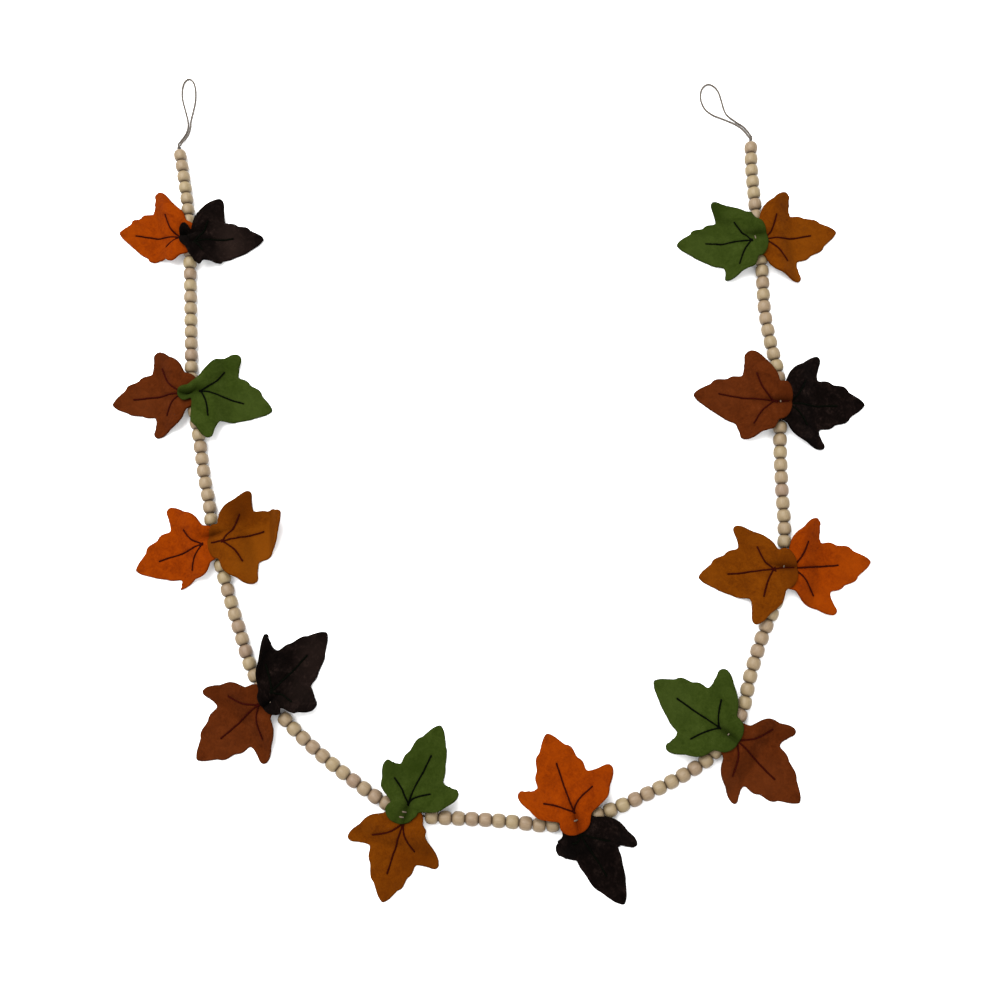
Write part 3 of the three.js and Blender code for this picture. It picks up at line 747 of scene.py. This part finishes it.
TABS = {
    # leaf: share of the tab's width that is left, its shift to the left, share of its length that is left
    "1F": (0.75, 9, 0.75), "2F": (0.45, -7, 1), "3F": (1, -1, 0.7),
    "4F": (0.85, -7, 0.85), "5F": (0.8, 3.5, 1), "6F": (0.85, 2, 1),
    "8F": (1.1, 0, 1), "9F": (1.1, 1, 0.85), "10F": (1.1, 2, 0.75),
}
WHOLE_TAB = (1, 0, 1)
GATHER_ALONG = (-3, 6)
SHIFT_ALONG = (-9, 0)
SCALLOPS_START = 29.2
SCALLOPS_END = 66
LEAST_WIDTH = 0.5
SHOULDERS = {
    # leaf: swing of the middle of a stretch, left above 0, and share of its reach that is drawn in
    "1B": [(-78, 0.16)], "1F": [(84, 0.26)], "3B": [(70, 0.14)],
    "3F": [(95, 0.2)], "4F": [(76, 0.26)], "5B": [(78, 0.33)],
    "5F": [(96, 0.15), (-94, 0.3)], "6B": [(73, -0.13)], "6F": [(98, 0.12)],
    "7B": [(84, -0.12)], "7F": [(-90, 0.12)], "8F": [(-93, 0.22)],
    "9F": [(-93, 0.24)], "10F": [(-82, 0.26)],
}
SHOULDER_SPREAD = 16
BENDS = {
    # leaf: swing, how far out the bend starts, and how many degrees the felt turns up
    "3F": (-3, 38, 56), "4F": (128, 6, 78),
}
BEND_RADIUS = 6

# %% [markdown]
# Between two landmarks the stretch, turn and lift change softly with the swing round the leaf, so
# the felt has no kinks. A bend rolls the felt up round a soft edge and then goes on straight.

# %% Drawing a flat leaf to its landmarks
def landmark_table(leaf):
    """Rows of swing, stretch, turn and lift, in order of swing."""
    placed = {**leaf, **MOVED_BASES.get(leaf["name"], {})}
    rows = [(-180, 1, 0, 0)]
    for landmark, swing, reach in LANDMARKS:
        actual_reach, actual_swing, lift = placed.get(landmark, (reach, swing, 0))
        rows.append((swing, actual_reach / reach, actual_swing - swing, lift))
    return np.array([*rows, (180, 1, 0, 0)], float)


def bend_up(places, height, swing, start, turn):
    """Rolls the felt up past a line across it, start mm out in the direction of the swing."""
    towards = np.array([math.cos(math.radians(swing)), math.sin(math.radians(swing))])
    past = np.maximum(places @ towards - start, 0)
    angle = np.minimum(past / BEND_RADIUS, math.radians(turn))
    straight = past - angle * BEND_RADIUS
    forward = BEND_RADIUS * np.sin(angle) + straight * np.cos(angle) - past
    rise = BEND_RADIUS * (1 - np.cos(angle)) + straight * np.sin(angle)
    return places + forward[:, None] * towards, height + rise


def half_width(along, edge):
    """Half the width of the tip of the flat leaf, inside the given half edge."""
    tip = np.array([place for place in edge[::-1] if place[0] >= SCALLOPS_START])
    return np.maximum(np.interp(along, tip[:, 0], tip[:, 1]), LEAST_WIDTH)


def drawn_in(leaf, flat):
    """The flat leaf with softer scallops on either side and its base tab gathered."""
    left, right = SOFT_EDGES[leaf["name"]]
    softness = np.where(flat[:, 1] > 0, left, right)
    lost = softness * (half_width(flat[:, 0], SOFT_EDGE) / half_width(flat[:, 0], HALF_EDGE) - 1)
    scalloped = (flat[:, 0] > SCALLOPS_START) & (flat[:, 0] < SCALLOPS_END)
    width = np.where(scalloped, 1 + lost, 1)
    tab_width, tab_shift, tab_length = TABS.get(leaf["name"], WHOLE_TAB)
    gathered = fade(flat[:, 0], *GATHER_ALONG)
    shifted = fade(flat[:, 0], *SHIFT_ALONG)
    along = flat[:, 0] * np.where(flat[:, 0] < 0, tab_length, 1)
    out = flat[:, 1] * width * (1 + (tab_width - 1) * gathered) + tab_shift * shifted
    return np.column_stack([along, out])


def heading_turn(leaf):
    """Turns rows of (along, out) to the leaf's heading."""
    heading = math.radians(leaf["heading"])
    return np.array([[math.cos(heading), math.sin(heading)], [-math.sin(heading), math.cos(heading)]])


def lay_leaf(leaf, flat):
    """Where points of the flat leaf lie: the underside of the felt, in the part's frame."""
    flat = drawn_in(leaf, flat)
    table = landmark_table(leaf)
    swing = np.degrees(np.arctan2(flat[:, 1], flat[:, 0]))
    after = np.clip(np.searchsorted(table[:, 0], swing), 1, len(table) - 1)
    low, high = table[after - 1], table[after]
    share = (1 - fade(swing, low[:, 0], high[:, 0]))[:, None]
    stretch, turn, lift = (low[:, 1:] + (high[:, 1:] - low[:, 1:]) * share).T
    for middle, drawn in SHOULDERS.get(leaf["name"], []):
        stretch = stretch * (1 - drawn * np.exp(-(((swing - middle) / SHOULDER_SPREAD) ** 2)))
    reach = np.hypot(flat[:, 0], flat[:, 1]) * stretch
    turned = np.radians(swing + turn)
    places = np.stack([reach * np.cos(turned), reach * np.sin(turned)], axis=1)
    height = lift * (reach / LOBE_REACH) ** 2
    if leaf["name"] in BENDS:
        places, height = bend_up(places, height, *BENDS[leaf["name"]])
    places = places @ heading_turn(leaf) + leaf["place"]
    height = height + drape(places, leaf)
    return np.column_stack([places, height])

# %% [markdown]
# ## Veins
# Three veins are sewn on each leaf in backstitch with dark thread: one along the middle and one out
# to each lobe, from a point that the sewer placed by eye, so it wanders from leaf to leaf. The thread
# pulls the felt down, so the felt is thinner in a soft trough along it. Each stitch is a small
# capsule that follows the upper face of the felt.

# %% Vein lines on the flat leaf
VEINS = {
    # leaf: where the veins meet, then the end of the middle, left and right one
    "1B": ((-1, 1), (50, 0.5), (13, 18), (14.5, -20)),
    "1F": ((1, 0), (37, 4.5), (14, 20), (12, -14)),
    "2B": ((0, 1), (47.5, -2), (13.5, 21.5), (18.5, -25)),
    "2F": ((3, -1), (41, -0.5), (16, 22), (18.5, -22)),
    "3B": ((0, 0), (44.5, -1), (12, 25), (14, -18.5)),
    "3F": ((2, -2.5), (35, -3.5), (15.5, 21), (16.5, -21)),
    "4B": ((-2, 1), (41, 0.5), (12.5, 25.5), (12, -22.5)),
    "4F": ((1, -2), (42, -1), (12, 19), (13, -23)),
    "5B": ((0, 0), (44.5, -2.5), (17.5, 17), (16.5, -22)),
    "5F": ((1, 1), (42.5, -2.5), (16, 24), (15.5, -16.5)),
    "6B": ((2, 0), (42, 0), (14, 22), (12, -15)),
    "6F": ((1, 1), (42, 0.5), (13.5, 22.5), (14.5, -21)),
    "7B": ((-4, 1), (40.5, -0.5), (10.5, 27.5), (9.5, -24.5)),
    "7F": ((2.5, 0), (43.5, 0.5), (15, 22), (13.5, -19.5)),
    "8B": ((-3, 2.5), (39, 0.5), (13, 22.5), (10.5, -23)),
    "8F": ((4, 1), (42, -0.5), (15.5, 21), (11.5, -20.5)),
    "9B": ((-1, -1), (43, -1), (13, 20), (12, -20)),
    "9F": ((1, 3.3), (46.5, -2.5), (18, 26), (17, -21.5)),
    "10B": ((-1, -2.5), (44, 0), (12, 20), (16, -23)),
    "10F": ((2.7, 5.5), (41.5, 0.5), (14, 28), (12, -17)),
}
TAILS = {"3F": (-12, -2), "8F": (-15, 0), "9F": (-14, 0)}
BOW = 0.07
STITCH = 3.0
STITCH_WIDTH = 1.6
KNOT_SPREAD = {"8F": 1.6, "9F": 1.9}
TROUGH_DEPTH = 0.3
TROUGH_WIDTH = 2.8


def vein_routes(leaf):
    """The vein lines of a leaf in flat coordinates; a side vein bows a little towards the tip, and the
    middle one of a few leaves was sewn on through the base tab."""
    start, *ends = VEINS[leaf["name"]]
    routes = []
    for end, side in zip(ends, (0, 1, -1)):
        along = np.array(end, float) - start
        bow = np.array([along[1], -along[0]]) * BOW * side
        middle = np.array(start) + along * 0.45 + bow
        routes.append(Route([start, middle, end], 12))
    tail = TAILS.get(leaf["name"])
    if tail:
        routes.append(Route([start, tail], 12))
    return routes


def felt_thickness(leaf, flat):
    """Share of the felt's whole thickness at points of the flat leaf."""
    share = np.ones(len(flat))
    for route in vein_routes(leaf):
        line = route.at(np.arange(0, route.length, 0.8))
        gap = np.linalg.norm(flat[:, None, :] - line[None, :, :], axis=2).min(axis=1)
        share = np.minimum(share, 1 - TROUGH_DEPTH * np.exp(-(gap / TROUGH_WIDTH * 2) ** 2))
    return share


print("veins:", round(sum(route.length for leaf in leaves for route in vein_routes(leaf))), "mm in all")

# %% [markdown]
# Soft felt is never quite even. It lifts a little here and there, folds up beside the middle of a
# gathered base, and carries soft patches of painted shade and painted light.

# %% Unevenness, folds and patches
WOBBLE = 1.0
WOBBLE_SIZE = 17
WOBBLE_BIAS = 0.35
STILL_REACH = 12
FREE_REACH = 34
WOBBLE_APART = 3.1
FOLD_HEIGHT = 2.6
FOLD_WIDTH = 2.6
FOLD_ALONG = (-2, 12)
FOLD_ASIDE = (12, 22)
FOLDS = {
    "1F": 0.9, "2F": 1.0, "4F": 0.5, "5F": 0.45, "6F": 0.25, "7F": 0.25, "8F": 0.35, "9F": 0.35, "10F": 0.3,
}
# Painted shade along the valley in the middle of a gathered base
VALLEY_PAINTED_SHADE = 1.3
VALLEY_SHADE_ALONG = (0, 14)
LIGHT_AND_SHADE_PATCHES = {
    # leaf: along, out and size of each soft patch in mm, and its strength: painted shade above 0, painted
    # light below 0
    "1B": [(30, -30, 14, 0.4), (50, 0, 14, -0.4)],
    "1F": [(30, 10, 16, -0.35), (36, -10, 16, -0.4), (4, -2, 12, 1.0)],
    "2B": [(38, 6, 16, -0.5), (26, -30, 14, 0.4)],
    "2F": [(45, 0, 18, -0.5), (18, 30, 12, 0.5), (-6, -12, 8, 0.6)],
    "3F": [(20, 30, 18, 1.5), (30, -18, 20, -1.4), (56, 4, 9, -0.5)],
    "4B": [(40, 6, 20, -0.3), (22, -30, 14, 0.5), (4, -6, 12, 0.5)],
    "4F": [(14, 26, 16, 1.0), (45, -6, 18, -0.3), (20, -20, 12, -0.2)],
    "5B": [(30, -12, 16, 0.1), (26, 24, 18, 0.8), (56, 4, 14, 0.5)],
    "5F": [(34, 4, 20, 0.4), (16, -26, 14, 0.2), (22, 30, 14, 0.6), (30, 3, 6, 0.6)],
    "6B": [(14, -14, 16, 0.8), (40, 4, 18, 0.2)],
    "6F": [(20, 30, 14, -0.3), (50, 0, 16, -0.3), (14, -26, 14, 0.3)],
    "7B": [(27, 36, 13, 0.6), (14, -34, 14, -0.6), (36, -4, 18, -0.5)],
    "7F": [(44, 4, 18, -0.6), (16, -24, 12, 0.4)],
    "8B": [(24, 26, 16, 0.3), (50, 0, 16, -0.7), (16, -28, 14, -0.6)],
    "8F": [(22, -28, 14, 0.4), (56, 0, 12, -0.4), (-12, 0, 12, 0.7)],
    "9F": [(40, 0, 18, -0.4), (-12, -8, 9, 0.4)],
    "10B": [(36, 0, 18, -0.6), (30, -30, 14, -0.6), (22, 30, 12, 0.4)],
    "10F": [(30, -34, 16, 0.9), (44, 4, 18, -0.5)],
}


def valley(leaf, flat):
    """1 along the middle of the base tab, falling softly to 0 on both sides."""
    width = TABS.get(leaf["name"], WHOLE_TAB)[0]
    return np.exp(-(flat[:, 1] * width / FOLD_WIDTH) ** 2)


def surface(leaf, flat):
    """The underside with the small unevenness of soft felt, none of it near the tie or below the
    table, and with two soft folds beside the middle of a gathered base."""
    seed = leaf["pair"] * 10 + (5 if leaf["layer"] == "front" else 0)
    places = [Vector((along / WOBBLE_SIZE, out / WOBBLE_SIZE, seed * WOBBLE_APART)) for along, out in flat]
    rise = np.array([noise.noise(place) for place in places]) + WOBBLE_BIAS
    reach = np.hypot(flat[:, 0], flat[:, 1])
    base = fade(flat[:, 0], *FOLD_ALONG)
    fall = fade(np.abs(flat[:, 1]), *FOLD_ASIDE)
    laid = lay_leaf(leaf, flat)
    laid[:, 2] += np.maximum(rise, 0) * WOBBLE * (1 - fade(reach, STILL_REACH, FREE_REACH))
    laid[:, 2] += FOLD_HEIGHT * FOLDS.get(leaf["name"], 0) * base * (1 - valley(leaf, flat)) * fall
    return laid


def upper_face(leaf, flat, share=1.0):
    """Points of the felt's upper face and its normals there."""
    step = 0.6
    below = surface(leaf, flat)
    along = surface(leaf, flat + (step, 0)) - below
    out = surface(leaf, flat + (0, step)) - below
    normal = np.cross(along, out)
    normal /= np.linalg.norm(normal, axis=1, keepdims=True)
    thickness = FELT * np.asarray(share) * pressed(below[:, :2], leaf)
    return below + normal * thickness[:, None], normal


def painted_shading_of(leaf, flat):
    """Painted shade (above 0) and painted light (below 0) of the felt in soft patches and along the valley
    of a gathered base.
    """
    base = fade(flat[:, 0], *VALLEY_SHADE_ALONG)
    painted_shading = VALLEY_PAINTED_SHADE * FOLDS.get(leaf["name"], 0) * base * valley(leaf, flat)
    for along, out, size, strength in LIGHT_AND_SHADE_PATCHES.get(leaf["name"], []):
        painted_shading += strength * np.exp(-((flat[:, 0] - along) ** 2 + (flat[:, 1] - out) ** 2) / size**2)
    return np.clip(painted_shading, -1, 1)

# %% [markdown]
# A leaf is a thin sheet on the underside of its felt, thickened upwards. It is thinner in the
# troughs of its veins, where the tie squeezes it and at its cut edge, and painted with shade in the
# same places and at the end of its tab.

# %% A leaf of felt
UV_SIZE = 100
EDGE_THICKNESS = 0.55
# Painted shade: at the end of the tab, in the vein troughs, where the tie squeezes and at the cut edge
TAB_SHADE = 0.3
TAB_SHADE_START = -2
TAB_SHADE_LENGTH = 12
TROUGH_SHADE = 0.4
TIE_SHADE = 0.7
RIM_SHADE = 0.35


def felt_leaf(leaf):
    """The leaf's piece: a thin sheet on its underside, thickened upwards to felt."""
    laid = surface(leaf, leaf_flat)
    thickness = felt_thickness(leaf, leaf_flat)
    squeezed = pressed(laid[:, :2], leaf)
    mesh = bmesh.new()
    mesh.from_mesh(leaf_data)
    mesh.verts.ensure_lookup_table()
    uv_layer = mesh.loops.layers.uv.new("felt")
    shade_layer = mesh.verts.layers.float.new("shade")
    painted_shading_layer = mesh.verts.layers.float.new("painted_shading")
    # Painted shade and painted light in soft patches and along the valley
    painted_shading = painted_shading_of(leaf, leaf_flat)
    tab = np.clip((TAB_SHADE_START - leaf_flat[:, 0]) / TAB_SHADE_LENGTH, 0, 1)
    trough = (1 - thickness) / TROUGH_DEPTH
    tie = (1 - squeezed) / PRESS
    for i, vertex in enumerate(mesh.verts):
        for loop in vertex.link_loops:
            loop[uv_layer].uv = leaf_flat[i] / UV_SIZE + 0.5
        # Painted shade at the cut edge, in the vein troughs, where the tie squeezes and at the end of the
        # tab
        rim = RIM_SHADE if i in leaf_rim else 0
        shade = TAB_SHADE * tab[i] + TROUGH_SHADE * trough[i] + TIE_SHADE * tie[i] + rim
        vertex[shade_layer] = float(np.clip(shade, 0, 1))
        vertex[painted_shading_layer] = float(painted_shading[i])
        vertex.co = laid[i]
    piece = make_piece("felt_" + leaf["node"], mesh, FELTS[leaf["felt"]],
                       [leaf["node"]])
    group = piece.vertex_groups.new(name="thickness")
    for i, share in enumerate(thickness * squeezed):
        group.add([i], share * (EDGE_THICKNESS if i in leaf_rim else 1.0), "REPLACE")
    solidify = piece.modifiers.new("felt", "SOLIDIFY")
    solidify.thickness = FELT * MM
    solidify.offset = 1
    solidify.vertex_group = "thickness"
    solidify.use_even_offset = False
    solidify.use_rim = True


for leaf in leaves:
    felt_leaf(leaf)
print(len(leaves), "felt leaves")

# %% [markdown]
# A stitch is made once as a capsule of seven sides, drawn in at both ends. Copies of it are laid
# end to end along each vein, each one turned along the felt and sunk a little into it.

# %% Sewn veins
VEIN_THREADS = {"orange": "maroon", "ochre": "maroon", "rust": "maroon", "green": "black", "dark": "black"}
STITCH_SIDES = 7
STITCH_SINK = 0.12
STITCH_OVERLAP = 0.07
STITCH_WANDER = 0.18
STITCH_WIDTHS = (0.88, 1.08)
KNOT_SLANT = 1.1
KNOT_BACK = 1.2
KNOT_ON = 0.6
KNOT_WIDTH = 1.15


def unit_stitch():
    """One stitch of unit length along X and unit width: a seven-sided capsule."""
    section = [(-0.5, 0.0), (-0.46, 0.28), (-0.36, 0.46), (0.0, 0.5), (0.36, 0.46), (0.46, 0.28), (0.5, 0.0)]
    mesh = spun(section, STITCH_SIDES, 0.0001)
    uv_layer = mesh.loops.layers.uv.new("along")
    for face in mesh.faces:
        for loop in face.loops:
            co = loop.vert.co
            loop[uv_layer].uv = (co.x * 4, math.atan2(co.y, co.z))
    return mesh_data("one_stitch", mesh)


one_stitch = unit_stitch()


def add_stitch(mesh, start, end, normal, width):
    """Copies the stitch between two points on a surface with that normal."""
    before = len(mesh.verts)
    mesh.from_mesh(one_stitch)
    mesh.verts.ensure_lookup_table()
    start, end, normal = Vector(start), Vector(end), Vector(normal).normalized()
    along = end - start
    length = along.length
    along.normalize()
    side = normal.cross(along).normalized()
    up = along.cross(side)
    middle = (start + end) / 2 + up * width * (0.5 - 2 * STITCH_SINK)
    frame_matrix = Matrix((along * length, side * width, up * width * 0.8)).transposed().to_4x4()
    bmesh.ops.transform(mesh, matrix=Matrix.Translation(middle) @ frame_matrix, verts=mesh.verts[before:])


stitch_luck = random.Random(11)


def sew(mesh, leaf, route, length, width, share=1.0):
    """Stitches end to end along a route on the flat leaf."""
    count = max(1, round(route.length / length))
    marks = np.linspace(0, route.length, count + 1)
    flat = route.at(marks) + [(0, stitch_luck.uniform(-STITCH_WANDER, STITCH_WANDER)) for _ in marks]
    top, normal = upper_face(leaf, flat, np.full(len(flat), share))
    for i in range(count):
        reach = (top[i + 1] - top[i]) * STITCH_OVERLAP
        add_stitch(mesh, top[i] - reach, top[i + 1] + reach, normal[i] + normal[i + 1],
                   width * stitch_luck.uniform(*STITCH_WIDTHS))


for leaf in leaves:
    sewing = bmesh.new()
    for route in vein_routes(leaf):
        sew(sewing, leaf, route, STITCH, STITCH_WIDTH, 1 - TROUGH_DEPTH)
    meet = np.array(VEINS[leaf["name"]][0], float)
    spread = KNOT_SPREAD.get(leaf["name"], 1)
    for slant in (-KNOT_SLANT * spread, 0, KNOT_SLANT * spread):
        knot = Route([meet + (-KNOT_BACK * spread, slant), meet + (KNOT_ON * spread, -slant / 2)], 4)
        sew(sewing, leaf, knot, STITCH, STITCH_WIDTH * KNOT_WIDTH, 1 - TROUGH_DEPTH)
    thread = THREADS[VEIN_THREADS[leaf["felt"]]]
    make_piece(leaf["node"].replace("leaf", "veins"), sewing, thread)
print("veins sewn on", len(leaves), "leaves")

# %% [markdown]
# Each pair of leaves is tied to the strand with pale thread. On seven front leaves one or two short
# stitches of it show, at or near the valley over the strand, and they lie along the strand.

# %% Tie stitches
TIE_STITCHES = {
    # pair: along the strand, across it, length and width in mm
    4: [(-5, -1.9, 2.6, 1.1)], 5: [(0, -4.2, 3.8, 1.3), (0, 0.4, 3.8, 1.3)], 6: [(0, 0.5, 5.6, 1.5)],
    7: [(0, 0, 3.6, 1.3)], 8: [(0, 0, 3.6, 1.3)], 9: [(0, 0.3, 3.4, 1.3)], 10: [(-5, 3.6, 3, 1.3)],
}

tie_sewing = bmesh.new()
for leaf, station in zip(leaves[1::2], TIE_STATIONS):
    to_flat = heading_turn(leaf).T
    middle = (strand.at(station)[:2] - leaf["place"]) @ to_flat
    direction = strand.direction(station)[:2] @ to_flat
    across = np.array([-direction[1], direction[0]])
    for onward, aside, length, width in TIE_STITCHES.get(leaf["pair"], []):
        centre = middle + direction * onward + across * aside
        stitch = Route([centre - direction * length / 2, centre + direction * length / 2], 4)
        sew(tie_sewing, leaf, stitch, length, width)
make_piece("tie_stitches", tie_sewing, THREADS["pale"])
print(sum(map(len, TIE_STITCHES.values())), "tie stitches on", len(TIE_STITCHES), "pairs")

# %% [markdown]
# ## Table and light
# A pale table top, with plain soft studio light: a large lamp above and beyond the garland, a
# weaker one on the near side, and pale light all round.

# %% Table, lamps and sky
floor_mesh = bmesh.new()
bmesh.ops.create_grid(floor_mesh, x_segments=2, y_segments=2, size=4)
bmesh.ops.translate(floor_mesh, vec=(0, 0, -0.0002), verts=floor_mesh.verts)
floor = add_object("table_top", mesh_data("table_top", floor_mesh))
paper = Recipe("pale_paper")
tooth = paper.noise(paper.add("TexCoord").outputs["Object"], 900.0, 3.0)
floor.data.materials.append(paper.finish((0.9, 0.9, 0.9, 1), tooth, 0.00002, Roughness=0.9,
                                        Specular_IOR_Level=0.1))


def add_lamp(name, place, size, power):
    lamp_data = bpy.data.lights.new(name, "AREA")
    lamp_data.shape = "DISK"
    lamp_data.size = size
    lamp_data.energy = power
    lamp = add_object(name, lamp_data)
    lamp.location = place
    lamp.rotation_mode = "QUATERNION"
    lamp.rotation_quaternion = (Vector((0, 0, 0)) - Vector(place)).to_track_quat("-Z", "Y")


add_lamp("lamp_above", (-0.75, 1.0, 2.2), 2.4, 147)
add_lamp("lamp_near", (0.8, -1.4, 1.8), 1.8, 19.4)
world = bpy.data.worlds.new("studio")
world.use_nodes = True
world.node_tree.nodes["Background"].inputs["Color"].default_value = (1, 1, 1, 1)
world.node_tree.nodes["Background"].inputs["Strength"].default_value = 1.22
bpy.context.scene.world = world
bpy.context.scene.view_settings.view_transform = "Standard"
